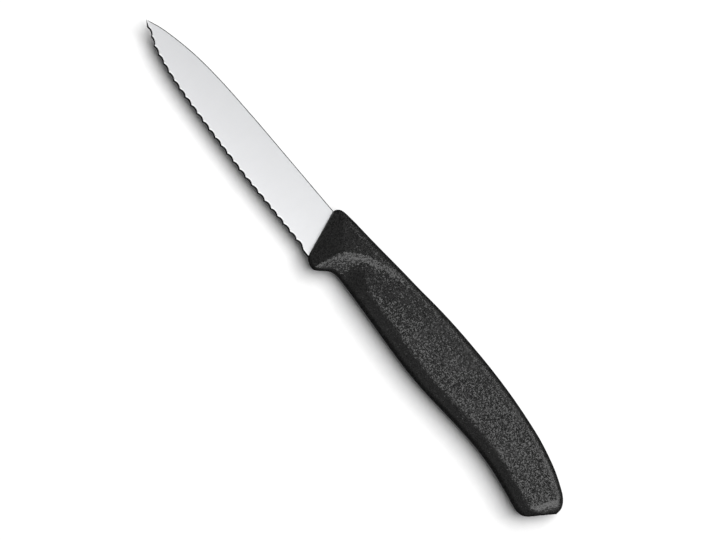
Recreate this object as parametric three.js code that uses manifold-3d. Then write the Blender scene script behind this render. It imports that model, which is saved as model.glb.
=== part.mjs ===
// A paring knife with a wavy edge: a steel blade whose tang is moulded into a one-piece plastic handle.
// It lies on its side, tip towards -X, butt towards +X, back towards +Y and left face up.
// The origin is on the table, under the middle of the knife. Millimetres.
import * as THREE from "three";
import { mergeVertices } from "three/addons/utils/BufferGeometryUtils.js";
import Module from "manifold-3d";

const wasm = await Module();
wasm.setup();

// While it is drawn, x = 0 is where the handle's front crosses the knife's axis, y = 0 is that axis,
// and z = 0 is the middle of the blade's thickness.

// Blade
const BLADE_LENGTH = 80; // tip to the handle's front, along the axis
const SPINE_RISE = 6.85; // axis up to the back of the blade, at the handle
const EDGE_DROP = 7.08; // axis down to the plain edge, at the handle
const STOCK = 1.2; // the steel sheet
const EDGE_THICKNESS = 0.4; // left by the grinding, at the heel
const TIP_THICKNESS = 0.45;
const TIP_SETBACK = 0.3; // length of outline that the rounded tip replaces on each side
const SPINE_CURVE = [
  // millimetres behind the tip, share of SPINE_RISE
  [0, 0],
  [4.3, 0.254],
  [8.9, 0.437],
  [17.1, 0.669],
  [27.5, 0.818],
  [43.7, 0.911],
];
const EDGE_CURVE = [
  // millimetres behind the tip, share of EDGE_DROP
  [0, 0],
  [4, 0.262],
  [7.4, 0.473],
  [12.8, 0.636],
  [18.2, 0.749],
  [27.1, 0.845],
  [38.5, 0.929],
  [53.2, 1],
];

// Waves of the edge, ground into the right face
const WAVE_PITCH = 2.92; // the count of waves is the nearest whole number
const WAVE_DEPTH = 0.47; // from the points to the hollows
const WAVE_SETBACK = 0.32; // the points lie this far inside the plain edge
const WAVE_TILT = 55; // degrees between the grinding and the blade's thickness
const PLAIN_AT_TIP = 2.2; // plain edge left at the tip
const PLAIN_AT_HEEL = 3; // edge between the last wave and the guard
const WAVE_RUNOUT = 0.8; // the last wave runs out to the plain edge over this length

// Tang, the part of the sheet inside the handle
const GRIND_END = 4; // the ground faces stop this far behind the axis point of the handle's front
const SHOULDER = 5.2; // the blade's full height stops here
const TANG_LENGTH = 62;
const TANG_HEIGHT = 8.2;
const TANG_END_HEIGHT = 6.5;
const TANG_STEP = 0.6; // the tang's upper edge lies this far under the back of the blade
const TANG_HOLE_RADIUS = 2;
const TANG_HOLES = [20, 46]; // centres, along the axis
const MOULD_GAP = 0.1; // between the steel and the plastic all round

// Handle
const HANDLE_LENGTH = 106.35; // axis point of the front to the furthest point of the butt
const HANDLE_THICKNESS = 12.4;
const FRONT_THICKNESS = 4.4; // of the slanted front face
const FRONT_SLANT = 0.396; // how far the front runs back for each millimetre down
const FRONT_EDGE_RADIUS = 0.6;
const COLLAR_LENGTH = 15; // the ribs of the collar and guard end here
const BUTT_LENGTH = 21.4; // the ribs of the butt start this far from its end
const COLLAR_RIBS = [
  // x and y on the belly, x and y on the back
  [2.42, -6.1, -2.53, 6.4],
  [2.85, -7.0, -2.55, 7.2],
  [3.6, -7.75, -2.1, 8.1],
  [4.7, -8.25, -1.3, 8.75],
  [5.8, -8.48, 0, 9.12],
  [6.8, -8.4, 1.8, 9.35],
  [7.7, -7.8, 4.0, 9.58],
  [8.9, -6.5, 6.5, 9.78],
  [10.3, -5.1, 9.2, 9.98],
  [12.2, -4.35, 12.2, 10.23],
  [COLLAR_LENGTH, -4.28, COLLAR_LENGTH, 10.48],
];
const GRIP_RIBS = [
  // y on the belly, y on the back, at equal steps between the collar and the butt
  [-4.66, 11.2],
  [-5.12, 11.83],
  [-5.63, 12.57],
  [-5.98, 13.06],
  [-5.9, 13.26],
  [-5.36, 13.27],
  [-4.83, 13.01],
  [-4.62, 12.42],
];
const BUTT_RIBS = [
  // distance from the end and y on the belly, the same on the back
  [BUTT_LENGTH, -5.09, 20.3, 11.35],
  [17.3, -5.68, 14.8, 10.22],
  [13.4, -6.27, 9.8, 8.86],
  [10.3, -6.87, 5.7, 7.3],
  [7.9, -7.15, 3.1, 6.1],
  [6.1, -6.75, 1.35, 4.76],
  [5.0, -5.95, 0.35, 3.3],
  [4.15, -4.85, 0, 1.3],
];

// Faces of the handle
const COLLAR_SLOPE = 0.484; // rise of the collar's front, per millimetre
const SHOULDER_SLOPE = 0.29; // rise of the collar's broad upper face
const CREST_START = 6.7; // x of the collar's crest at the tip of the guard
const CREST_LOW = -8.3; // y there
const CREST_SWEEP = 14.5; // how far back the crest runs to its upper end
const CREST_SPAN = 17.8; // height of that run
const CREST_POWER = 3.4; // how late it sweeps back
const CREST_BLEND = 0.4; // height over which the collar's faces run into each other
const DIP = 0.8; // hollow of the side face behind the crest
const DIP_LENGTH = 14;
const WALL_SLOPE_FACE = 0.45; // fall behind the crest, on the side face
const WALL_SLOPE_GUARD = 0.75; // and on the guard
const WALL_GUARD_Y = -5; // the two slopes hold below and above these heights
const WALL_FACE_Y = 8;
const SCOOP_BLEND = 0.5; // height over which the guard runs into the finger scoop
const BEVEL_WIDTH = 5.2; // of the bevel along the belly
const BEVEL_NARROWING = 1.3; // from the handle's front to its end
const BEVEL_FOOT = 2.7; // half thickness that the bevel starts from
const SCOOP_WIDENING = 2.1; // of the bevel, in the finger scoop
const SCOOP_DEPTH = 1.2; // the bevel's foot is lower there
const SCOOP_CENTRE = 14;
const SCOOP_REACH = 4.3;
const BEVEL_BLEND = 0.7;
const TAPER_START = 66; // the side faces are flat up to here
const TAPER = 0.45; // and then fall by this much to the butt
const BELLY_ROUND = 1.4; // widths over which the edges of the outline round off
const BACK_ROUND = 2.2;
const BUTT_ROUND = 4;
const ROUND_POWER = 2.2;

// Fineness
const CURVE_STEPS = 28;
const WAVE_STEPS = 6;
const HOLE_STEPS = 24;
const RIB_STEPS = 3; // rings for each rib
const ROUND_STEPS = 5; // points over each rounded edge
const BEVEL_STEPS = 5;
const FACE_STEPS = 10;
const LARGE = 400; // cutting blocks reach past everything

// Solids for joining and cutting

function solidFrom(geometry) {
  const bare = geometry.clone();
  bare.deleteAttribute("normal");
  bare.deleteAttribute("uv");
  const merged = mergeVertices(bare, 1e-4);
  const vertProperties = merged.getAttribute("position").array;
  const triVerts = new Uint32Array(merged.index.array);
  return new wasm.Manifold(new wasm.Mesh({ numProp: 3, vertProperties, triVerts }));
}

function geometryFrom(solid) {
  const { vertProperties, triVerts } = solid.getMesh();
  const geometry = new THREE.BufferGeometry();
  geometry.setAttribute("position", new THREE.BufferAttribute(vertProperties, 3));
  geometry.setIndex(new THREE.BufferAttribute(triVerts, 1));
  geometry.computeVertexNormals();
  return geometry;
}

// A flat outline as a plate of this thickness, centred on z = 0
function plate(shape, thickness, curveSegments) {
  const options = { depth: thickness, bevelEnabled: false, curveSegments };
  return new THREE.ExtrudeGeometry(shape, options).translate(0, 0, -thickness / 2);
}

// Blade

// The back or the edge as a curve that starts at the tip; side is 1 for the back and -1 for the edge
function bladeCurve(profile, height, side, grow) {
  const points = profile.map(
    ([behindTip, share]) => new THREE.Vector2(behindTip - BLADE_LENGTH, side * (share * height + grow)),
  );
  points[0].set(-BLADE_LENGTH - grow, 0);
  return new THREE.SplineCurve(points);
}

// The stamped sheet with its tang, grown by a gap all round; the holes shrink by it
function bladeBlank(grow) {
  const edge = bladeCurve(EDGE_CURVE, EDGE_DROP, -1, grow).getSpacedPoints(CURVE_STEPS);
  const spine = bladeCurve(SPINE_CURVE, SPINE_RISE, 1, grow).getSpacedPoints(CURVE_STEPS);
  const tip = edge[0].clone();
  edge[0].lerp(edge[1], TIP_SETBACK / edge[0].distanceTo(edge[1]));
  spine[0].lerp(spine[1], TIP_SETBACK / spine[0].distanceTo(spine[1]));
  const tangTop = SPINE_RISE - TANG_STEP;
  const tangMiddle = tangTop - TANG_HEIGHT / 2;
  const outline = new THREE.Shape();
  outline.setFromPoints(edge);
  outline.lineTo(SHOULDER + grow, -EDGE_DROP - grow);
  outline.lineTo(SHOULDER + grow, tangTop - TANG_HEIGHT - grow);
  outline.lineTo(TANG_LENGTH + grow, tangMiddle - TANG_END_HEIGHT / 2 - grow);
  outline.lineTo(TANG_LENGTH + grow, tangMiddle + TANG_END_HEIGHT / 2 + grow);
  outline.lineTo(SHOULDER + grow, tangTop + grow);
  outline.lineTo(SHOULDER + grow, SPINE_RISE + grow);
  outline.lineTo(0, SPINE_RISE + grow);
  spine.reverse().forEach((point) => outline.lineTo(point.x, point.y));
  outline.quadraticCurveTo(tip.x, tip.y, edge[0].x, edge[0].y);
  for (const along of TANG_HOLES) {
    const hole = new THREE.Path();
    hole.absarc(along, tangMiddle, TANG_HOLE_RADIUS - grow, 0, 2 * Math.PI);
    outline.holes.push(hole);
  }
  return solidFrom(plate(outline, STOCK + 2 * grow, HOLE_STEPS));
}

// The block that grinding takes off one face: full thickness at the back of the heel, thin at the edge and tip
function grinding(side, grow) {
  const acrossFall = (STOCK - EDGE_THICKNESS) / 2 / (SPINE_RISE + EDGE_DROP);
  const axisHalf = STOCK / 2 - acrossFall * SPINE_RISE;
  const alongFall = (axisHalf - TIP_THICKNESS / 2) / BLADE_LENGTH;
  const along = new THREE.Vector3(1, 0, side * alongFall).normalize();
  const outward = new THREE.Vector3(-alongFall, -acrossFall, side).normalize();
  const across = new THREE.Vector3().crossVectors(outward, along);
  const stop = GRIND_END - grow;
  const end = new THREE.Vector3(stop, 0, side * (axisHalf + alongFall * stop + grow));
  const block = new THREE.BoxGeometry(LARGE, LARGE, LARGE).translate(-LARGE / 2, 0, LARGE / 2);
  return solidFrom(block.applyMatrix4(new THREE.Matrix4().makeBasis(along, across, outward).setPosition(end)));
}

// The comb that cuts the waves. It leans, so that the hollows reach further up on the right face.
function waveComb() {
  const curve = bladeCurve(EDGE_CURVE, EDGE_DROP, -1, 0);
  const route = new THREE.CurvePath();
  const heel = new THREE.Vector2(EDGE_DROP * FRONT_SLANT - PLAIN_AT_HEEL, -EDGE_DROP);
  route.add(curve);
  route.add(new THREE.LineCurve(curve.getPoint(1), heel));
  const routeLength = route.getLength();
  const count = Math.round((routeLength - PLAIN_AT_TIP) / WAVE_PITCH);
  const step = (routeLength - PLAIN_AT_TIP) / count;
  const inside = (distance, depth) => {
    const share = Math.min(distance / routeLength, 1);
    const tangent = route.getTangentAt(share);
    const point = route.getPointAt(share);
    return new THREE.Vector2(point.x - tangent.y * depth, point.y + tangent.x * depth);
  };
  const comb = new THREE.Shape();
  const first = inside(PLAIN_AT_TIP, 0);
  comb.moveTo(first.x, first.y);
  for (let wave = 0; wave < count; wave += 1) {
    const start = PLAIN_AT_TIP + wave * step;
    const hollow = inside(start + step / 2, WAVE_SETBACK + 2 * WAVE_DEPTH);
    const point = inside(start + step, WAVE_SETBACK);
    comb.quadraticCurveTo(hollow.x, hollow.y, point.x, point.y);
  }
  const below = -2 * EDGE_DROP;
  comb.lineTo(heel.x + WAVE_RUNOUT, -EDGE_DROP);
  comb.lineTo(heel.x + WAVE_RUNOUT, below);
  comb.lineTo(first.x - WAVE_PITCH, below);
  const lean = Math.tan(THREE.MathUtils.degToRad(WAVE_TILT));
  const leanFrom = STOCK / 2 - (STOCK - EDGE_THICKNESS) / 2;
  const cutter = plate(comb, 2 * STOCK, WAVE_STEPS).translate(0, 0, -leanFrom);
  cutter.applyMatrix4(new THREE.Matrix4().makeShear(0, 0, 0, 0, 0, -lean));
  return solidFrom(cutter.translate(0, 0, leanFrom));
}

function groundBlank(grow) {
  return bladeBlank(grow).subtract(grinding(1, grow)).subtract(grinding(-1, grow));
}

// Handle

const HALF = HANDLE_THICKNESS / 2;

function smoothMin(a, b, blend) {
  const near = Math.max(blend - Math.abs(a - b), 0) / blend;
  return Math.min(a, b) - (near * near * blend) / 4;
}

function smoothMax(a, b, blend) {
  return -smoothMin(-a, -b, blend);
}

// The share of full thickness at this distance inside an edge that rounds off over this width
function rounded(distance, width, power) {
  const out = 1 - THREE.MathUtils.clamp(distance / width, 0, 1);
  return (1 - out ** power) ** (1 / power);
}

// The collar's front: it slopes up from the slanted front face, whose edge is rounded
function collarFront(x, y) {
  const behind = Math.max((x + FRONT_SLANT * y) / Math.hypot(1, FRONT_SLANT), 0);
  const out = Math.max(FRONT_EDGE_RADIUS - behind, 0);
  const edge = FRONT_EDGE_RADIUS - Math.sqrt(FRONT_EDGE_RADIUS ** 2 - out ** 2);
  return FRONT_THICKNESS / 2 + COLLAR_SLOPE * behind - edge;
}

// The crest at this height: its x, and how much faster x grows than y
function crest(y) {
  const share = Math.max((y - CREST_LOW) / CREST_SPAN, 0);
  const x = CREST_START + CREST_SWEEP * share ** CREST_POWER;
  const lean = ((CREST_SWEEP * CREST_POWER) / CREST_SPAN) * share ** (CREST_POWER - 1);
  return { x, lean };
}

// Half the handle's thickness at a point of its outline, before the outline's edges are rounded
function faceHeight(x, y, fromBelly) {
  const { x: crestX, lean } = crest(y);
  const ahead = (crestX - x) / Math.hypot(1, lean);
  const crestHeight = Math.min(HALF, collarFront(crestX, y));
  const shoulder = crestHeight - SHOULDER_SLOPE * ahead;
  const toFace = THREE.MathUtils.smoothstep(y, WALL_GUARD_Y, WALL_FACE_Y);
  const wallSlope = THREE.MathUtils.lerp(WALL_SLOPE_GUARD, WALL_SLOPE_FACE, toFace);
  const wall = crestHeight + wallSlope * ahead;
  const dip = DIP * (1 - THREE.MathUtils.smoothstep(-ahead, 0, DIP_LENGTH));
  const taperShare = Math.max((x - TAPER_START) / (HANDLE_LENGTH - TAPER_START), 0);
  const face = HALF - dip - TAPER * taperShare ** 2;
  const scoop = Math.exp(-(((x - SCOOP_CENTRE) / SCOOP_REACH) ** 2));
  const bevelWidth = BEVEL_WIDTH + SCOOP_WIDENING * scoop - (BEVEL_NARROWING * x) / HANDLE_LENGTH;
  const foot = BEVEL_FOOT - SCOOP_DEPTH * scoop;
  const bevel = foot + ((face - foot) * fromBelly) / bevelWidth;
  const grip = smoothMin(face, bevel, BEVEL_BLEND);
  const behindCrest = smoothMax(wall, grip, SCOOP_BLEND);
  const collar = smoothMin(collarFront(x, y), shoulder, CREST_BLEND);
  return smoothMin(collar, behindCrest, CREST_BLEND);
}

// The belly and the back of the outline, as curves whose points at the same share make one rib
function handleOutline() {
  const belly = [];
  const back = [];
  const addRib = (bellyX, bellyY, backX, backY) => {
    belly.push(new THREE.Vector3(bellyX, bellyY, 0));
    back.push(new THREE.Vector3(backX, backY, 0));
  };
  COLLAR_RIBS.forEach((rib) => addRib(...rib));
  const gripLength = HANDLE_LENGTH - BUTT_LENGTH - COLLAR_LENGTH;
  GRIP_RIBS.forEach(([bellyY, backY], index) => {
    const x = COLLAR_LENGTH + (gripLength * (index + 1)) / (GRIP_RIBS.length + 1);
    addRib(x, bellyY, x, backY);
  });
  BUTT_RIBS.forEach(([bellyEnd, bellyY, backEnd, backY]) =>
    addRib(HANDLE_LENGTH - bellyEnd, bellyY, HANDLE_LENGTH - backEnd, backY),
  );
  return {
    belly: new THREE.CatmullRomCurve3(belly, false, "centripetal"),
    back: new THREE.CatmullRomCurve3(back, false, "centripetal"),
    rings: (belly.length - 1) * RIB_STEPS,
  };
}

// Distances from the belly at which a rib of this width is sampled, close together on the rounded edges
function ribStations(width) {
  const stations = [];
  for (let step = 0; step < ROUND_STEPS; step += 1) {
    stations.push(BELLY_ROUND * (1 - Math.cos((step / ROUND_STEPS) * (Math.PI / 2))));
  }
  const backStart = width - BACK_ROUND;
  const bevelEnd = Math.min(BEVEL_WIDTH + 2 * BEVEL_BLEND, (BELLY_ROUND + backStart) / 2);
  for (let step = 0; step < BEVEL_STEPS; step += 1) {
    stations.push(THREE.MathUtils.lerp(BELLY_ROUND, bevelEnd, step / BEVEL_STEPS));
  }
  for (let step = 0; step < FACE_STEPS; step += 1) {
    stations.push(THREE.MathUtils.lerp(bevelEnd, backStart, step / FACE_STEPS));
  }
  for (let step = 0; step <= ROUND_STEPS; step += 1) {
    stations.push(backStart + BACK_ROUND * Math.sin((step / ROUND_STEPS) * (Math.PI / 2)));
  }
  return stations;
}

// The handle's outer form: a ring of points round each rib, joined ring to ring. The front ring gets a flat cap,
// and the last one has no thickness, so it closes the butt by itself.
function handleForm() {
  const { belly, back, rings } = handleOutline();
  const lastMiddle = belly.getPoint(1).lerp(back.getPoint(1), 0.5);
  const positions = [];
  const triangles = [];
  let perSide = 0;
  for (let ring = 0; ring <= rings; ring += 1) {
    const low = belly.getPoint(ring / rings);
    const high = back.getPoint(ring / rings);
    const width = low.distanceTo(high);
    const buttShare = rounded(low.clone().lerp(high, 0.5).distanceTo(lastMiddle), BUTT_ROUND, ROUND_POWER);
    const stations = ribStations(width);
    perSide = stations.length;
    for (const side of [1, -1]) {
      for (const fromBelly of stations) {
        const point = low.clone().lerp(high, fromBelly / width);
        const edges =
          rounded(fromBelly, BELLY_ROUND, ROUND_POWER) * rounded(width - fromBelly, BACK_ROUND, ROUND_POWER);
        const height = faceHeight(point.x, point.y, fromBelly) * edges * buttShare;
        positions.push(point.x, point.y, side * height);
      }
    }
  }
  const index = (ring, side, station) => (2 * ring + side) * perSide + station;
  const addQuad = (a, b, c, d) => triangles.push(a, b, c, a, c, d);
  for (let station = 0; station + 1 < perSide; station += 1) {
    for (let ring = 0; ring < rings; ring += 1) {
      addQuad(
        index(ring, 0, station),
        index(ring + 1, 0, station),
        index(ring + 1, 0, station + 1),
        index(ring, 0, station + 1),
      );
      addQuad(
        index(ring, 1, station),
        index(ring, 1, station + 1),
        index(ring + 1, 1, station + 1),
        index(ring + 1, 1, station),
      );
    }
    addQuad(index(0, 0, station), index(0, 0, station + 1), index(0, 1, station + 1), index(0, 1, station));
  }
  const form = new THREE.BufferGeometry();
  form.setAttribute("position", new THREE.Float32BufferAttribute(positions, 3));
  form.setIndex(triangles);
  return form;
}

// The two pieces

const blade = new THREE.Mesh(
  geometryFrom(groundBlank(0).subtract(waveComb())),
  new THREE.MeshStandardMaterial({ color: 0xd8dade, roughness: 0.25, metalness: 1 }),
);
blade.name = "blade";

const handle = new THREE.Mesh(
  geometryFrom(solidFrom(handleForm()).subtract(groundBlank(MOULD_GAP))),
  new THREE.MeshStandardMaterial({ color: 0x1a1a1a, roughness: 0.6, metalness: 0 }),
);
handle.name = "handle";

const knife = new THREE.Group();
knife.add(blade, handle);
const box = new THREE.Box3().setFromObject(knife);
const middle = box.getCenter(new THREE.Vector3());
knife.position.set(-middle.x, -middle.y, -box.min.z);

const part = new THREE.Group();
part.add(knife);

export default part;
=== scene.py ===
"""Looks of a paring knife with a wavy edge: a satin steel blade in a black, finely grained plastic handle."""

import math

import bmesh
import bpy
import numpy as np
from mathutils import Matrix, Vector


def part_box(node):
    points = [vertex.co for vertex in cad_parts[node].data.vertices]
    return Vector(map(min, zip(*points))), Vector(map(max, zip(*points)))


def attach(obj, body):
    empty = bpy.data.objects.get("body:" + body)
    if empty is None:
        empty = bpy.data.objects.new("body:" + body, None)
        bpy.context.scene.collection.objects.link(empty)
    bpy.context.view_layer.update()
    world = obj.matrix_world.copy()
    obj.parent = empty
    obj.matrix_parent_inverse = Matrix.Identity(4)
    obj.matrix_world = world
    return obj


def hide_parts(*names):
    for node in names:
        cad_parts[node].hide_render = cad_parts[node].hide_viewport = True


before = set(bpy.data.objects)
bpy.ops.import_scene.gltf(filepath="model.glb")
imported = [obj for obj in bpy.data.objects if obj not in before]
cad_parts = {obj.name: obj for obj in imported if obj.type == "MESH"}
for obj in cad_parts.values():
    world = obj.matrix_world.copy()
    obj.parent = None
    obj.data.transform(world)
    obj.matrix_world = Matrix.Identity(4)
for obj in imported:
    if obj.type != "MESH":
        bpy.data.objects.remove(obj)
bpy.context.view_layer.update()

# Drawing sizes are in millimetres: x = 0 where the handle's front crosses the knife's axis,
# y = 0 on that axis, z = 0 in the middle of the blade's thickness.
MM = 0.001

# Blade
BLADE_LENGTH = 80
SPINE_RISE = 6.85
EDGE_DROP = 7.08
STOCK = 1.2
EDGE_THICKNESS = 0.4
TIP_THICKNESS = 0.45
TIP_RADIUS = 0.12
# Points of the back and of the edge: distance behind the tip, and share of the full height there
SPINE_CURVE = [(0, 0), (4.3, 0.254), (8.9, 0.437), (17.1, 0.669), (27.5, 0.818), (43.7, 0.911)]
EDGE_CURVE = [
    (0, 0),
    (4, 0.262),
    (7.4, 0.473),
    (12.8, 0.636),
    (18.2, 0.749),
    (27.1, 0.845),
    (38.5, 0.929),
    (53.2, 1),
]
# Steps of the ground edge and of the rounded back: way in from the outline, and drop below the face there.
# The edge's first step is a rim that reaches past the drawn outline; painted shade makes it dark.
EDGE_REACH = 0.35
EDGE_STEPS = [(-EDGE_REACH, 0.3), (0.16, 0.05), (0.42, 0)]
SPINE_STEPS = [(0, 0.45), (0.05, 0.28), (0.24, 0)]
# Most of the blade's width that these steps may take where it is narrow
EDGE_SHARE = 0.3
SPINE_SHARE = 0.2

# Waves of the edge
WAVE_PITCH = 2.92
WAVE_DEPTH = 0.47
WAVE_SETBACK = 0.32
WAVE_TILT = 55
PLAIN_AT_TIP = 2.2
PLAIN_AT_HEEL = 3
WAVE_RUNOUT = 0.8

# Tang
GRIND_END = 4
SHOULDER = 5.2
TANG_LENGTH = 62
TANG_HEIGHT = 8.2
TANG_END_HEIGHT = 6.5
TANG_STEP = 0.6
TANG_HOLE_RADIUS = 2
TANG_HOLES = [20, 46]
MOULD_GAP = 0.02
# Steps of the tang's lower side, given as for the edge
TANG_CORNER = [(0, 0.1), (0.03, 0.03), (0.1, 0)]

# Handle
HANDLE_LENGTH = 106.35
HANDLE_THICKNESS = 12.4
HALF = HANDLE_THICKNESS / 2
FRONT_THICKNESS = 4.4
FRONT_SLANT = 0.396
FRONT_EDGE_RADIUS = 0.6
COLLAR_LENGTH = 15
BUTT_LENGTH = 21.4
# Ribs across the outline. Collar: x and y at the belly, x and y at the back.
# Grip: y at the belly and at the back of evenly spaced ribs. Butt: as the collar, but x counts from the end.
COLLAR_RIBS = [
    (2.42, -6.1, -2.53, 6.4),
    (2.85, -7.0, -2.55, 7.2),
    (3.6, -7.75, -2.1, 8.1),
    (4.7, -8.25, -1.3, 8.75),
    (5.8, -8.48, 0, 9.12),
    (6.8, -8.4, 1.8, 9.35),
    (7.7, -7.8, 4.0, 9.58),
    (8.9, -6.5, 6.5, 9.78),
    (10.3, -5.1, 9.2, 9.98),
    (12.2, -4.35, 12.2, 10.23),
    (COLLAR_LENGTH, -4.28, COLLAR_LENGTH, 10.48),
]
GRIP_RIBS = [
    (-4.66, 11.2),
    (-5.12, 11.83),
    (-5.63, 12.57),
    (-5.98, 13.06),
    (-5.9, 13.26),
    (-5.36, 13.27),
    (-4.83, 13.01),
    (-4.62, 12.42),
]
BUTT_RIBS = [
    (BUTT_LENGTH, -5.09, 20.3, 11.35),
    (17.3, -5.68, 14.8, 10.22),
    (13.4, -6.27, 9.8, 8.86),
    (10.3, -6.87, 5.7, 7.3),
    (7.9, -7.15, 3.1, 6.1),
    (6.1, -6.75, 1.35, 4.76),
    (5.0, -5.95, 0.35, 3.3),
    (4.15, -4.85, 0, 1.3),
]

# Faces of the handle
COLLAR_SLOPE = 0.484
SHOULDER_SLOPE = 0.29
CREST_START = 6.7
CREST_LOW = -8.3
CREST_SWEEP = 14.5
CREST_SPAN = 17.8
CREST_POWER = 3.4
CREST_BLEND = 0.4
DIP = 0.8
DIP_LENGTH = 14
WALL_SLOPE_FACE = 0.45
WALL_SLOPE_GUARD = 0.75
WALL_GUARD_Y = -5
WALL_FACE_Y = 8
SCOOP_BLEND = 0.5
BEVEL_WIDTH = 5.2
BEVEL_NARROWING = 1.3
BEVEL_FOOT = 2.7
SCOOP_WIDENING = 2.1
SCOOP_DEPTH = 1.2
SCOOP_CENTRE = 14
SCOOP_REACH = 4.3
BEVEL_BLEND = 0.7
TAPER_START = 66
TAPER = 0.45
BELLY_ROUND = 1.4
BACK_ROUND = 2.2
BUTT_ROUND = 4
ROUND_POWER = 2.2
PARTING_RIDGE = 0.04
PARTING_HALF_ANGLE = math.radians(1.5)

# Fineness of the meshes
TIP_STEPS = 24
TIP_FIRST_STEP = 0.008
HEEL_STEPS = 16
WAVE_STEPS = 14
COLLAR_STEPS = 9
GRIP_STEPS = 10
ROUND_STEPS = 12
BEVEL_STEPS = 16
FACE_STEPS = 36
CURVE_STEPS = 600
HOLE_SIDES = 48
MERGE_DISTANCE = 1e-7
BLADE_SHARP_ANGLE = math.radians(5)
HANDLE_SHARP_ANGLE = math.radians(40)

# The photograph's frame, and the camera and floor in metres, with the sensor in millimetres
PHOTO_WIDTH = 716
PHOTO_HEIGHT = 540
TIP_PIXEL = (146.3, 19.5)
MM_PER_PIXEL = 0.29
KNIFE_ANGLE = math.radians(50.725)
CAMERA_DISTANCE = 1.6
SENSOR_WIDTH = 36
CAMERA_REACH = 20
FLOOR_HALF_SIZE = 6

# The drawing's zero point in the model's frame
_, blade_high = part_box("blade")
handle_low, handle_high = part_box("handle")
DRAWING_ORIGIN = np.array(
    [
        handle_high.x - HANDLE_LENGTH * MM,
        blade_high.y - SPINE_RISE * MM,
        (handle_low.z + handle_high.z) / 2,
    ]
)


# Helpers for meshes


def spline(points, shares):
    """A smooth curve through the points, at these shares of its run of points."""
    points = np.asarray(points, float)
    ends_added = np.vstack([2 * points[0] - points[1], points, 2 * points[-1] - points[-2]])
    place = np.clip(np.asarray(shares, float), 0, 1) * (len(points) - 1)
    index = np.minimum(place.astype(int), len(points) - 2)
    weight = (place - index)[:, None]
    before, start, end, after = (ends_added[index + step] for step in range(4))
    span_before, span, span_after = (
        np.sqrt(np.linalg.norm(high - low, axis=1))[:, None]
        for low, high in ((before, start), (start, end), (end, after))
    )
    leave = (start - before) / span_before - (end - before) / (span_before + span) + (end - start) / span
    arrive = (end - start) / span - (after - start) / (span + span_after) + (after - end) / span_after
    leave *= span
    arrive *= span
    square = 3 * (end - start) - 2 * leave - arrive
    cube = leave + arrive - 2 * (end - start)
    return start + weight * (leave + weight * (square + weight * cube))


def smoothstep(value, low, high):
    """Rises from 0 at low to 1 at high, level at both ends."""
    share = np.clip((value - low) / (high - low), 0, 1)
    return share * share * (3 - 2 * share)


def smooth_min(a, b, blend):
    """The smaller of the two, with the change between them rounded over the blend."""
    near = np.maximum(blend - np.abs(a - b), 0) / blend
    return np.minimum(a, b) - near * near * blend / 4


def smooth_max(a, b, blend):
    """The larger of the two, rounded in the same way."""
    return -smooth_min(-a, -b, blend)


def loft(rings, cap_first, cap_last):
    """Points and faces of a tube through rings that all have the same count of points."""
    rings = np.asarray(rings, float)
    ring_count, around, _ = rings.shape
    faces = []
    for ring in range(ring_count - 1):
        for place in range(around):
            following = (place + 1) % around
            here = ring * around
            there = here + around
            faces.append((here + place, here + following, there + following, there + place))
    if cap_first:
        faces.append(tuple(range(around))[::-1])
    if cap_last:
        start = (ring_count - 1) * around
        faces.append(tuple(range(start, start + around)))
    return rings.reshape(-1, 3), faces


def mesh_object(name, points, faces):
    """A piece in the model's frame from points of the drawing."""
    mesh = bpy.data.meshes.new(name)
    mesh.from_pydata((points * MM + DRAWING_ORIGIN).tolist(), [], faces)
    shaped = bmesh.new()
    shaped.from_mesh(mesh)
    bmesh.ops.remove_doubles(shaped, verts=shaped.verts, dist=MERGE_DISTANCE)
    bmesh.ops.dissolve_degenerate(shaped, edges=shaped.edges, dist=MERGE_DISTANCE)
    bmesh.ops.recalc_face_normals(shaped, faces=shaped.faces)
    shaped.to_mesh(mesh)
    shaped.free()
    piece = bpy.data.objects.new(name, mesh)
    bpy.context.scene.collection.objects.link(piece)
    return piece


def cut(piece, cutter):
    """Takes the cutter's space out of the piece and removes the cutter."""
    modifier = piece.modifiers.new("cut", "BOOLEAN")
    modifier.operation = "DIFFERENCE"
    modifier.solver = "EXACT"
    modifier.object = cutter
    shaped = bpy.data.meshes.new_from_object(piece.evaluated_get(bpy.context.evaluated_depsgraph_get()))
    piece.modifiers.clear()
    piece.data = shaped
    bpy.data.objects.remove(cutter)


def shade(piece, sharp_angle):
    """Smooth shading, broken at edges that turn by more than this angle."""
    piece.data.shade_smooth()
    piece.data.set_sharp_from_angle(angle=sharp_angle)


# Blade


def blade_side(profile, height, side):
    """The back (side 1) or the plain edge (side -1) as a close row of points, from the tip on."""
    points = [(behind_tip - BLADE_LENGTH, side * share * height) for behind_tip, share in profile]
    return spline(points, np.linspace(0, 1, CURVE_STEPS))


def blade_half(x, y):
    """Half the blade's thickness on its ground faces."""
    across_fall = (STOCK - EDGE_THICKNESS) / 2 / (SPINE_RISE + EDGE_DROP)
    axis_half = STOCK / 2 - across_fall * SPINE_RISE
    along_fall = (axis_half - TIP_THICKNESS / 2) / BLADE_LENGTH
    return axis_half + along_fall * x + across_fall * y


def wave_depth(distance, length):
    """How far the waves, which end at this length, cut in at a distance along the plain edge."""
    count = round((length - PLAIN_AT_TIP) / WAVE_PITCH)
    step = (length - PLAIN_AT_TIP) / count
    wave = (distance - PLAIN_AT_TIP) / step
    hollow = WAVE_DEPTH * (1 - (2 * (wave % 1) - 1) ** 2)
    depth = WAVE_SETBACK * np.clip(wave, 0, 1) + hollow
    runout = WAVE_SETBACK * np.clip(1 - (distance - length) / WAVE_RUNOUT, 0, 1)
    return np.where(wave <= 0, 0, np.where(distance >= length, runout, depth))


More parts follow.
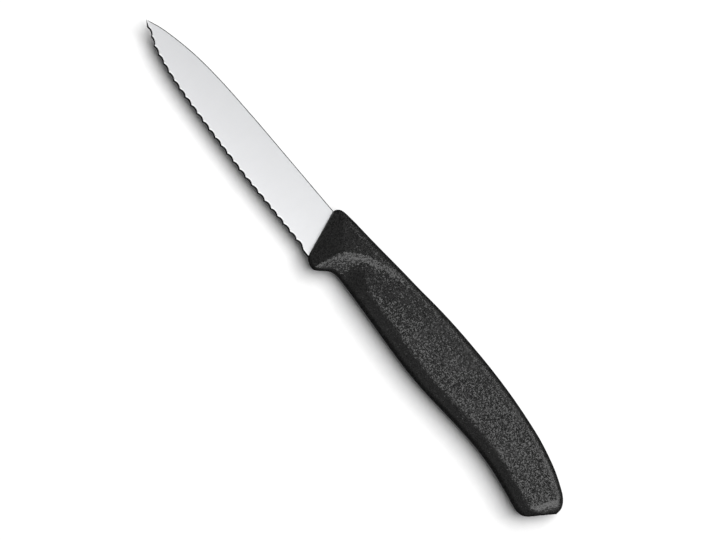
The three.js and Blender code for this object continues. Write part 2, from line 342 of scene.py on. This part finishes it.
def blade_stations(length, end):
    """Distances along the plain edge: close at the tip, with every point of the waves among them."""
    count = round((length - PLAIN_AT_TIP) / WAVE_PITCH)
    tip = PLAIN_AT_TIP * np.linspace(TIP_FIRST_STEP, 1, TIP_STEPS, endpoint=False) ** 2
    waves = np.linspace(PLAIN_AT_TIP, length, count * WAVE_STEPS + 1)
    heel = np.linspace(length + WAVE_RUNOUT / 4, end, HEEL_STEPS)
    return np.concatenate([tip, waves, heel])


def blade_ring(edge, back, half_edge, half_back, facet, edge_steps):
    """One ring round the blade, from its edge over the left face to the back and down the right face."""
    rib = back - edge
    width = np.linalg.norm(rib)
    rib = rib / width
    edge_scale = min(1, width * EDGE_SHARE / edge_steps[-1][0])
    spine_scale = min(1, width * SPINE_SHARE / SPINE_STEPS[-1][0])
    facet = min(facet, width * EDGE_SHARE)
    corners = []
    for inward, drop in edge_steps:
        corners.append((edge + rib * inward * edge_scale, half_edge - drop * edge_scale))
    spine = []
    for inward, drop in SPINE_STEPS:
        spine.append((back - rib * inward * spine_scale, half_back - drop * spine_scale))
    corners += spine[::-1]
    corners += [(flat, -height) for flat, height in spine]
    corners.append((edge + rib * facet, -half_edge))
    return [(flat[0], flat[1], height) for flat, height in corners]


def tang_rings():
    """Rings of the hidden part: full height up to the shoulder, then the tang."""
    top = SPINE_RISE - TANG_STEP
    middle = top - TANG_HEIGHT / 2
    sections = [
        (GRIND_END, -EDGE_DROP, SPINE_RISE),
        (SHOULDER, -EDGE_DROP, SPINE_RISE),
        (SHOULDER, top - TANG_HEIGHT, top),
        (TANG_LENGTH, middle - TANG_END_HEIGHT / 2, middle + TANG_END_HEIGHT / 2),
    ]
    rings = []
    for x, low, high in sections:
        edge = np.array([x, low])
        back = np.array([x, high])
        rings.append(blade_ring(edge, back, STOCK / 2, STOCK / 2, TANG_CORNER[1][0], TANG_CORNER))
    return rings


def make_blade():
    """The blade with its waves, which are ground into the right face only, and the hidden tang."""
    plain_edge = blade_side(EDGE_CURVE, EDGE_DROP, -1)
    plain_edge = np.vstack([plain_edge, (GRIND_END, -EDGE_DROP)])
    spine = np.vstack([blade_side(SPINE_CURVE, SPINE_RISE, 1), (0, SPINE_RISE), (GRIND_END, SPINE_RISE)])
    steps = np.linalg.norm(np.diff(plain_edge, axis=0), axis=1)
    travelled = np.concatenate([[0], np.cumsum(steps)])
    wave_end = np.interp(EDGE_DROP * FRONT_SLANT - PLAIN_AT_HEEL, plain_edge[:, 0], travelled)
    lean = math.tan(math.radians(WAVE_TILT))
    rings = []
    for distance in blade_stations(wave_end, travelled[-1]):
        index = min(np.searchsorted(travelled, distance, side="right"), len(steps)) - 1
        tangent = (plain_edge[index + 1] - plain_edge[index]) / steps[index]
        edge = plain_edge[index] + tangent * (distance - travelled[index])
        back = np.array([edge[0], np.interp(edge[0], spine[:, 0], spine[:, 1])])
        behind_tip = edge[0] + BLADE_LENGTH
        if behind_tip < TIP_RADIUS:
            tip_half = math.sqrt(TIP_RADIUS**2 - (TIP_RADIUS - behind_tip) ** 2)
            edge[1] = max(edge[1], -tip_half)
            back[1] = min(back[1], tip_half)
        depth = float(wave_depth(distance, wave_end))
        edge = edge + np.array([-tangent[1], tangent[0]]) * depth
        half_edge = blade_half(*edge)
        half_back = blade_half(*back)
        waved = min(depth / WAVE_SETBACK, 1)
        plain_facet, drop = EDGE_STEPS[1]
        facet = plain_facet + waved * (lean * (2 * half_edge - drop) - plain_facet)
        rings.append(blade_ring(edge, back, half_edge, half_back, facet, EDGE_STEPS))
    blade = mesh_object("blade_steel", *loft(rings + tang_rings(), True, True))
    for along in TANG_HOLES:
        cut(blade, make_pin(along, TANG_HOLE_RADIUS))
    shade(blade, BLADE_SHARP_ANGLE)
    return blade


def make_pin(along, radius):
    """A round bar through the tang, for its holes and for the plastic plugs in them."""
    middle = SPINE_RISE - TANG_STEP - TANG_HEIGHT / 2
    turns = np.linspace(0, 2 * math.pi, HOLE_SIDES, endpoint=False)
    circle = np.column_stack([along + radius * np.cos(turns), middle + radius * np.sin(turns)])
    rings = [np.column_stack([circle, np.full(HOLE_SIDES, height)]) for height in (-STOCK, STOCK)]
    return mesh_object("pin", *loft(rings, True, True))


def make_slot():
    """The space that the blade takes in the handle, with a hair's gap all round."""
    gap = MOULD_GAP
    top = SPINE_RISE - TANG_STEP
    middle = top - TANG_HEIGHT / 2
    rim = -EDGE_DROP - EDGE_REACH
    face_end = GRIND_END - gap
    rim_end = GRIND_END + gap
    rest = SHOULDER + gap
    end = TANG_LENGTH + gap
    sections = [
        (-COLLAR_LENGTH, rim, SPINE_RISE, True),
        (face_end, rim, SPINE_RISE, True),
        (face_end, rim, SPINE_RISE, False),
        (rim_end, rim, SPINE_RISE, False),
        (rim_end, -EDGE_DROP, SPINE_RISE, False),
        (rest, -EDGE_DROP, SPINE_RISE, False),
        (rest, top - TANG_HEIGHT, top, False),
        (end, middle - TANG_END_HEIGHT / 2, middle + TANG_END_HEIGHT / 2, False),
    ]
    rings = []
    for x, low, high, ground in sections:
        half_low = gap + (blade_half(x, -EDGE_DROP) if ground else STOCK / 2)
        half_high = gap + (blade_half(x, high) if ground else STOCK / 2)
        low -= gap
        high += gap
        left = [(x, low, half_low), (x, high, half_high)]
        right = [(x, high, -half_high), (x, low, -half_low)]
        rings.append(left + right)
    slot = mesh_object("slot", *loft(rings, True, True))
    for along in TANG_HOLES:
        cut(slot, make_pin(along, TANG_HOLE_RADIUS - gap))
    return slot


# Handle


def rounded(distance, width):
    """Share of the full height at this distance from an edge that is rounded over this width."""
    out = 1 - np.clip(distance / width, 0, 1)
    return (1 - out**ROUND_POWER) ** (1 / ROUND_POWER)


def collar_front(x, y):
    """Half the thickness of the collar, which rises from the slanted front with its rounded edge."""
    behind = np.maximum((x + FRONT_SLANT * y) / math.hypot(1, FRONT_SLANT), 0)
    out = np.maximum(FRONT_EDGE_RADIUS - behind, 0)
    edge = FRONT_EDGE_RADIUS - np.sqrt(FRONT_EDGE_RADIUS**2 - out**2)
    return FRONT_THICKNESS / 2 + COLLAR_SLOPE * behind - edge


def face_height(x, y, from_belly):
    """Half the handle's thickness at points of its outline, before the outline's edges are rounded."""
    share = np.maximum((y - CREST_LOW) / CREST_SPAN, 0)
    crest_x = CREST_START + CREST_SWEEP * share**CREST_POWER
    lean = CREST_SWEEP * CREST_POWER / CREST_SPAN * share ** (CREST_POWER - 1)
    ahead = (crest_x - x) / np.hypot(1, lean)
    crest_height = np.minimum(HALF, collar_front(crest_x, y))
    shoulder = crest_height - SHOULDER_SLOPE * ahead
    to_face = smoothstep(y, WALL_GUARD_Y, WALL_FACE_Y)
    wall = crest_height + (WALL_SLOPE_GUARD + to_face * (WALL_SLOPE_FACE - WALL_SLOPE_GUARD)) * ahead
    dip = DIP * (1 - smoothstep(-ahead, 0, DIP_LENGTH))
    taper = TAPER * np.maximum((x - TAPER_START) / (HANDLE_LENGTH - TAPER_START), 0) ** 2
    face = HALF - dip - taper
    scoop = np.exp(-(((x - SCOOP_CENTRE) / SCOOP_REACH) ** 2))
    bevel_width = BEVEL_WIDTH + SCOOP_WIDENING * scoop - BEVEL_NARROWING * x / HANDLE_LENGTH
    foot = BEVEL_FOOT - SCOOP_DEPTH * scoop
    bevel = foot + (face - foot) * from_belly / bevel_width
    grip = smooth_min(face, bevel, BEVEL_BLEND)
    behind_crest = smooth_max(wall, grip, SCOOP_BLEND)
    collar = smooth_min(collar_front(x, y), shoulder, CREST_BLEND)
    return smooth_min(collar, behind_crest, CREST_BLEND)


def handle_ribs():
    """The belly and the back of the outline at matching ribs."""
    belly = [(belly_x, belly_y) for belly_x, belly_y, _, _ in COLLAR_RIBS]
    back = [(back_x, back_y) for _, _, back_x, back_y in COLLAR_RIBS]
    grip_length = HANDLE_LENGTH - BUTT_LENGTH - COLLAR_LENGTH
    for index, (belly_y, back_y) in enumerate(GRIP_RIBS):
        x = COLLAR_LENGTH + grip_length * (index + 1) / (len(GRIP_RIBS) + 1)
        belly.append((x, belly_y))
        back.append((x, back_y))
    for belly_end, belly_y, back_end, back_y in BUTT_RIBS:
        belly.append((HANDLE_LENGTH - belly_end, belly_y))
        back.append((HANDLE_LENGTH - back_end, back_y))
    return belly, back


def rib_stations(width):
    """Distances from the belly along a rib, close together on the rounded edges."""
    angles = np.concatenate([[0, PARTING_HALF_ANGLE], np.linspace(0, math.pi / 2, ROUND_STEPS + 1)[1:]])
    back_start = width - BACK_ROUND
    bevel_end = min(BEVEL_WIDTH + 2 * BEVEL_BLEND, (BELLY_ROUND + back_start) / 2)
    return np.concatenate(
        [
            BELLY_ROUND * (1 - np.cos(angles)),
            np.linspace(BELLY_ROUND, bevel_end, BEVEL_STEPS + 1)[1:],
            np.linspace(bevel_end, back_start, FACE_STEPS + 1)[1:],
            (width - BACK_ROUND * (1 - np.cos(angles)))[::-1][1:],
        ]
    )


def ring_shares(rib_count):
    """Places of the rings between the first rib and the last."""
    collar = len(COLLAR_RIBS) - 1
    places = [np.arange(0, collar, 1 / COLLAR_STEPS), np.arange(collar, rib_count - 1, 1 / GRIP_STEPS)]
    return np.append(np.concatenate(places), rib_count - 1) / (rib_count - 1)


def make_handle():
    """The handle as rings across its outline, with the blade's slot cut out."""
    belly_ribs, back_ribs = handle_ribs()
    shares = ring_shares(len(belly_ribs))
    belly = spline(belly_ribs, shares)
    back = spline(back_ribs, shares)
    last_middle = (belly[-1] + back[-1]) / 2
    rings = []
    for low, high in zip(belly, back):
        width = np.linalg.norm(high - low)
        along = (high - low) / width
        from_belly = rib_stations(width)
        flat = low + along * from_belly[:, None]
        butt = rounded(np.linalg.norm((low + high) / 2 - last_middle), BUTT_ROUND)
        edges = rounded(from_belly, BELLY_ROUND) * rounded(width - from_belly, BACK_ROUND)
        height = face_height(flat[:, 0], flat[:, 1], from_belly) * edges * butt
        flat[0] -= along * PARTING_RIDGE * butt
        flat[-1] += along * PARTING_RIDGE * butt
        upper = np.column_stack([flat, height])
        lower = np.column_stack([flat, -height])[::-1][1:-1]
        rings.append(np.vstack([upper, lower]))
    handle = mesh_object("handle_grip", *loft(rings, True, False))
    cut(handle, make_slot())
    shade(handle, HANDLE_SHARP_ANGLE)
    return handle


# Materials

WHITE = (1, 1, 1)
BLACK = (0, 0, 0)
# Part of a noise's range that a value is spread over
NOISE_LOW = 0.3
NOISE_HIGH = 0.7
# The mix node's sockets for colours
MIX_FACTOR = 0
MIX_FIRST = 6
MIX_SECOND = 7
MIX_RESULT = 2

# Plastic: cells and patches to the metre, and how far the normal leans in a cell
GRAIN_SCALE = 3700
GRAIN_LEAN = 0.22
GRAIN_STOPS = [(0.2, (0.022, 0.022, 0.0216)), (0.7, (0.004, 0.004, 0.004))]
PATCH_SCALE = 120
PLASTIC_ROUGHNESS = (0.22, 0.29)

# Steel: lines to the metre, drawn out across the blade, and a painted sheen that makes the colour paler
# towards heel and edge
LINE_SCALE = 6000
LINE_STRETCH = (1, 0.02, 0.02)
LINE_STRENGTH = 0.15
LINE_DEPTH = 0.00001
STEEL_ROUGHNESS = (0.36, 0.44)
PAINTED_SHEEN_START = (0.58, 0, 0)
PAINTED_SHEEN_SCALE = (4.42, 50.5, 1)
PAINTED_SHEEN_TURN = (0, 0, math.radians(45))
PAINTED_SHEEN_STOPS = [(0, (0.64, 0.645, 0.657)), (1, (0.76, 0.765, 0.777))]
# Painted shade on the steel, by which way the surface faces, from surfaces that face the edge (0) to those
# that face the back (1)
PAINTED_SHADE_TEETH = (0.015, 0.015, 0.015)
PAINTED_SHADE_BACK = (0.4, 0.4, 0.4)
PAINTED_SHADE_STOPS = [(0.33, PAINTED_SHADE_TEETH), (0.36, WHITE), (0.75, WHITE), (0.8, PAINTED_SHADE_BACK)]

# Floor
FIBRE_SCALE = 400
FLOOR_TONES = (0.9, 0.92)
FLOOR_ROUGHNESS = 0.9
FLOOR_SPECULAR = 0.1


def new_material(name):
    """A material with its nodes, its links and its shader."""
    material = bpy.data.materials.new(name)
    material.use_nodes = True
    nodes = material.node_tree.nodes
    links = material.node_tree.links
    return material, nodes, links, nodes["Principled BSDF"]


def noise(nodes, links, vector, scale, detail, roughness):
    """A soft noise from 0 to 1."""
    node = nodes.new("ShaderNodeTexNoise")
    node.inputs["Scale"].default_value = scale
    node.inputs["Detail"].default_value = detail
    node.inputs["Roughness"].default_value = roughness
    links.new(vector, node.inputs["Vector"])
    return node.outputs["Fac"]


def ramp(nodes, links, value, stops):
    """A colour that runs through the stops as the value goes from 0 to 1."""
    node = nodes.new("ShaderNodeValToRGB")
    while len(node.color_ramp.elements) < len(stops):
        node.color_ramp.elements.new(0.5)
    for element, (position, colour) in zip(node.color_ramp.elements, stops):
        element.position = position
        element.color = (*colour, 1)
    links.new(value, node.inputs["Fac"])
    return node.outputs["Color"]


def spread(nodes, links, value, ends):
    """A grey between the two ends that follows a noise."""
    low, high = ends
    return ramp(nodes, links, value, [(NOISE_LOW, (low, low, low)), (NOISE_HIGH, (high, high, high))])


def bump(nodes, links, height, strength, distance):
    """The surface's normal, tilted by a height."""
    node = nodes.new("ShaderNodeBump")
    node.inputs["Strength"].default_value = strength
    node.inputs["Distance"].default_value = distance
    links.new(height, node.inputs["Height"])
    return node.outputs["Normal"]


def mix(nodes, links, kind, factor, first, second):
    """Two colours combined; the factor and each colour are fixed or another node's output."""
    node = nodes.new("ShaderNodeMix")
    node.data_type = "RGBA"
    node.blend_type = kind
    for place, value in ((MIX_FACTOR, factor), (MIX_FIRST, first), (MIX_SECOND, second)):
        if isinstance(value, bpy.types.NodeSocket):
            links.new(value, node.inputs[place])
        elif isinstance(value, tuple):
            node.inputs[place].default_value = (*value, 1)
        else:
            node.inputs[place].default_value = value
    return node.outputs[MIX_RESULT]


def mapping(nodes, links, vector, settings):
    """The vector, moved, turned and scaled as set."""
    node = nodes.new("ShaderNodeMapping")
    for name, value in settings.items():
        node.inputs[name].default_value = value
    links.new(vector, node.inputs["Vector"])
    return node.outputs["Vector"]


def axis_share(nodes, links, direction, axis):
    """One axis of a direction, from -1 to 1, as a share from 0 to 1."""
    parts = nodes.new("ShaderNodeSeparateXYZ")
    links.new(direction, parts.inputs["Vector"])
    share = nodes.new("ShaderNodeMapRange")
    share.inputs["From Min"].default_value = -1
    links.new(parts.outputs[axis], share.inputs["Value"])
    return share.outputs["Result"]


def cells(nodes, links, vector, scale):
    """Small cells, each of one random colour."""
    node = nodes.new("ShaderNodeTexVoronoi")
    node.inputs["Scale"].default_value = scale
    links.new(vector, node.inputs["Vector"])
    return node.outputs["Color"]


def facets(nodes, links, cell_colour, lean):
    """The surface's normal, leaning another way in each cell."""
    offset = nodes.new("ShaderNodeVectorMath")
    offset.operation = "MULTIPLY_ADD"
    links.new(cell_colour, offset.inputs[0])
    offset.inputs[1].default_value = (2 * lean, 2 * lean, 2 * lean)
    offset.inputs[2].default_value = (-lean, -lean, -lean)
    total = nodes.new("ShaderNodeVectorMath")
    total.operation = "ADD"
    links.new(nodes.new("ShaderNodeNewGeometry").outputs["Normal"], total.inputs[0])
    links.new(offset.outputs["Vector"], total.inputs[1])
    unit = nodes.new("ShaderNodeVectorMath")
    unit.operation = "NORMALIZE"
    links.new(total.outputs["Vector"], unit.inputs[0])
    return unit.outputs["Vector"]


def plastic_material():
    """Black polypropylene with a fine spark-eroded grain."""
    material, nodes, links, shader = new_material("grained_black_plastic")
    coords = nodes.new("ShaderNodeTexCoord").outputs["Object"]
    grain = cells(nodes, links, coords, GRAIN_SCALE)
    patches = noise(nodes, links, coords, scale=PATCH_SCALE, detail=3, roughness=0.5)
    links.new(ramp(nodes, links, grain, GRAIN_STOPS), shader.inputs["Base Color"])
    links.new(spread(nodes, links, patches, PLASTIC_ROUGHNESS), shader.inputs["Roughness"])
    links.new(facets(nodes, links, grain, GRAIN_LEAN), shader.inputs["Normal"])
    return material


def steel_material():
    """Stainless steel with a bright satin finish; painted shade makes it dark on the rim of the teeth and
    grey on the back, and a painted sheen makes it paler towards heel and edge.
    """
    material, nodes, links, shader = new_material("satin_steel")
    coords = nodes.new("ShaderNodeTexCoord").outputs
    across = mapping(nodes, links, coords["Object"], {"Scale": LINE_STRETCH})
    lines = noise(nodes, links, across, scale=LINE_SCALE, detail=3, roughness=0.6)
    links.new(spread(nodes, links, lines, STEEL_ROUGHNESS), shader.inputs["Roughness"])
    # Painted sheen: the steel's colour gets paler towards heel and edge, standing in for reflected light.
    sheen_place = {"Location": PAINTED_SHEEN_START, "Scale": PAINTED_SHEEN_SCALE, "Rotation": PAINTED_SHEEN_TURN}
    painted_sheen = nodes.new("ShaderNodeTexGradient")
    links.new(mapping(nodes, links, coords["Object"], sheen_place), painted_sheen.inputs["Vector"])
    colour = ramp(nodes, links, painted_sheen.outputs["Color"], PAINTED_SHEEN_STOPS)
    # Painted shade: dark on the rim of the teeth and grey on the back, chosen by which way the surface faces.
    painted_shade = ramp(nodes, links, axis_share(nodes, links, coords["Normal"], "Y"), PAINTED_SHADE_STOPS)
    links.new(mix(nodes, links, "MULTIPLY", 1, colour, painted_shade), shader.inputs["Base Color"])
    links.new(bump(nodes, links, lines, LINE_STRENGTH, LINE_DEPTH), shader.inputs["Normal"])
    shader.inputs["Metallic"].default_value = 1
    return material


def floor_material():
    """Plain pale card."""
    material, nodes, links, shader = new_material("pale_card")
    coords = nodes.new("ShaderNodeTexCoord").outputs["Object"]
    fibres = noise(nodes, links, coords, scale=FIBRE_SCALE, detail=2, roughness=0.5)
    links.new(spread(nodes, links, fibres, FLOOR_TONES), shader.inputs["Base Color"])
    shader.inputs["Roughness"].default_value = FLOOR_ROUGHNESS
    shader.inputs["Specular IOR Level"].default_value = FLOOR_SPECULAR
    return material


# Pieces

blade = make_blade()
blade.data.materials.clear()
blade.data.materials.append(steel_material())
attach(blade, "root")
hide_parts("blade")

handle = make_handle()
handle.data.materials.clear()
handle.data.materials.append(plastic_material())
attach(handle, "root")
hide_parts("handle")


# Floor, camera and light

IMAGE_RIGHT = Vector((math.cos(KNIFE_ANGLE), math.sin(KNIFE_ANGLE), 0))
IMAGE_UP = Vector((-math.sin(KNIFE_ANGLE), math.cos(KNIFE_ANGLE), 0))
UP = Vector((0, 0, 1))
ALONG = Vector((1, 0, 0))
ACROSS = Vector((0, 1, 0))

# Tones that the glossy surfaces reflect: above, low behind the back, the butt and the belly, and below
SKY_TONE = (0.14, 0.14, 0.14)
CARD_TONE = (0.24, 0.24, 0.24)
BUTT_TONE = (0.7, 0.7, 0.7)
BELLY_TONE = (0.042, 0.042, 0.042)
DEEP_TONE = (0.02, 0.02, 0.02)
# Where these tones change: by the share that a direction has of the card's way, and by its height from 0 to 1
CARD_WAY = (0.9, 0.45, 0)
CARD_STOPS = [(0, BELLY_TONE), (0.4, CARD_TONE), (0.75, BUTT_TONE)]
DEEP_STOPS = [(0.2, BLACK), (0.34, WHITE)]
HORIZON_STOPS = [(0.5, BLACK), (0.53, WHITE)]

# Soft boxes: direction, axis of the first size, distance, sizes and radiance
KEY = (Vector((0.1, 0.44, 1)), ALONG, 2.6, (2.0, 2.0), 7.5)
BLADE_BOX = (UP * 0.891 - IMAGE_UP * 0.454, IMAGE_RIGHT, 2.0, (2.8, 2.3), 1.73)
HANDLE_BOXES = {
    "grain_box": (UP * 0.804 - IMAGE_UP * 0.595 + IMAGE_RIGHT * 0.2126, IMAGE_RIGHT, 2.0, (2.5, 1.7), 3.4),
    "butt_box": (Vector((1, 0, 0.3)), ACROSS, 1.0, (1.0, 0.4), 3),
    "back_box": (Vector((0.55, 1, 0.95)), ALONG, 1.0, (0.9, 0.27), 4),
    "back_low_box": (Vector((0.55, 1, 0.05)), ALONG, 1.0, (1.2, 0.22), 3.8),
    "belly_box": (Vector((0.25, -1, 0.4)), ALONG, 1.0, (1.6, 0.8), 0.14),
}
# Four equal boxes round the blade
SIDE_TURNS = (0, 90, 180, 270)
SIDE_RISE = 0.4
SIDE_DISTANCE = 1.2
SIDE_SIZE = (2.0, 0.95)
SIDE_RADIANCE = 0.9


def view_centre():
    """The point of the blade's plane in the middle of the photograph."""
    right = (PHOTO_WIDTH / 2 - TIP_PIXEL[0]) * MM_PER_PIXEL * MM
    down = (PHOTO_HEIGHT / 2 - TIP_PIXEL[1]) * MM_PER_PIXEL * MM
    tip = Vector(DRAWING_ORIGIN) + Vector((-BLADE_LENGTH * MM, 0, 0))
    return tip + IMAGE_RIGHT * right - IMAGE_UP * down


def make_floor():
    """The floor, which the glossy surfaces don't mirror."""
    size = FLOOR_HALF_SIZE
    mesh = bpy.data.meshes.new("floor")
    corners = [(-size, -size, 0), (size, -size, 0), (size, size, 0), (-size, size, 0)]
    mesh.from_pydata(corners, [], [(0, 1, 2, 3)])
    mesh.materials.append(floor_material())
    floor = bpy.data.objects.new("floor", mesh)
    bpy.context.scene.collection.objects.link(floor)
    floor.visible_glossy = False


def make_camera():
    """A camera straight above the knife, turned as in the photograph."""
    data = bpy.data.cameras.new("camera")
    data.sensor_width = SENSOR_WIDTH
    data.lens = SENSOR_WIDTH * CAMERA_DISTANCE / (PHOTO_WIDTH * MM_PER_PIXEL * MM)
    data.clip_end = CAMERA_REACH
    camera = bpy.data.objects.new("camera", data)
    camera.location = view_centre() + UP * CAMERA_DISTANCE
    camera.rotation_euler = (0, 0, KNIFE_ANGLE)
    bpy.context.scene.collection.objects.link(camera)
    bpy.context.scene.camera = camera


def area_light(name, direction, along, distance, size, radiance):
    """A soft box that faces the middle of the view; its first size lies along the given axis."""
    data = bpy.data.lights.new(name, "AREA")
    data.shape = "RECTANGLE"
    data.size, data.size_y = size
    data.energy = radiance * math.pi * data.size * data.size_y
    light = bpy.data.objects.new(name, data)
    back = direction.normalized()
    side = (along - along.dot(back) * back).normalized()
    turn = Matrix((side, back.cross(side), back)).transposed()
    light.matrix_world = Matrix.Translation(view_centre() + back * distance) @ turn.to_4x4()
    light.visible_camera = False
    bpy.context.scene.collection.objects.link(light)
    return light


def gloss_box(piece, name, direction, along, distance, size, radiance):
    """A soft box that only one piece reflects, as behind a photographer's flags."""
    light = area_light(name, direction, along, distance, size, radiance)
    light.visible_diffuse = False
    light.light_linking.receiver_collection = bpy.data.collections.new(name)
    light.light_linking.receiver_collection.objects.link(piece)


def make_world():
    """Plain grey surroundings, with a paler card low down behind the back and the butt of the knife."""
    world = bpy.data.worlds.new("studio")
    world.use_nodes = True
    nodes = world.node_tree.nodes
    links = world.node_tree.links
    direction = nodes.new("ShaderNodeTexCoord").outputs["Generated"]
    sideways = nodes.new("ShaderNodeVectorMath")
    sideways.operation = "DOT_PRODUCT"
    sideways.inputs[1].default_value = CARD_WAY
    links.new(direction, sideways.inputs[0])
    card = ramp(nodes, links, sideways.outputs["Value"], CARD_STOPS)
    level = axis_share(nodes, links, direction, "Z")
    above_deep = ramp(nodes, links, level, DEEP_STOPS)
    above_card = ramp(nodes, links, level, HORIZON_STOPS)
    low = mix(nodes, links, "MIX", above_deep, DEEP_TONE, card)
    low_and_high = mix(nodes, links, "MIX", above_card, low, SKY_TONE)
    links.new(low_and_high, nodes["Background"].inputs["Color"])
    nodes["Background"].inputs["Strength"].default_value = 1
    bpy.context.scene.world = world


def make_light():
    """The key light, which no surface mirrors, and the boxes that blade and handle mirror."""
    key = area_light("key", *KEY)
    key.visible_glossy = False
    gloss_box(blade, "blade_box", *BLADE_BOX)
    for side, turn in enumerate(SIDE_TURNS):
        outward = Matrix.Rotation(math.radians(turn), 3, "Z") @ ALONG
        settings = (outward + UP * SIDE_RISE, UP.cross(outward), SIDE_DISTANCE, SIDE_SIZE, SIDE_RADIANCE)
        gloss_box(blade, f"blade_side_box_{side}", *settings)
    for name, settings in HANDLE_BOXES.items():
        gloss_box(handle, name, *settings)


make_floor()
make_camera()
make_world()
make_light()
scene = bpy.context.scene
scene.view_settings.view_transform = "Standard"
scene.view_settings.look = "None"
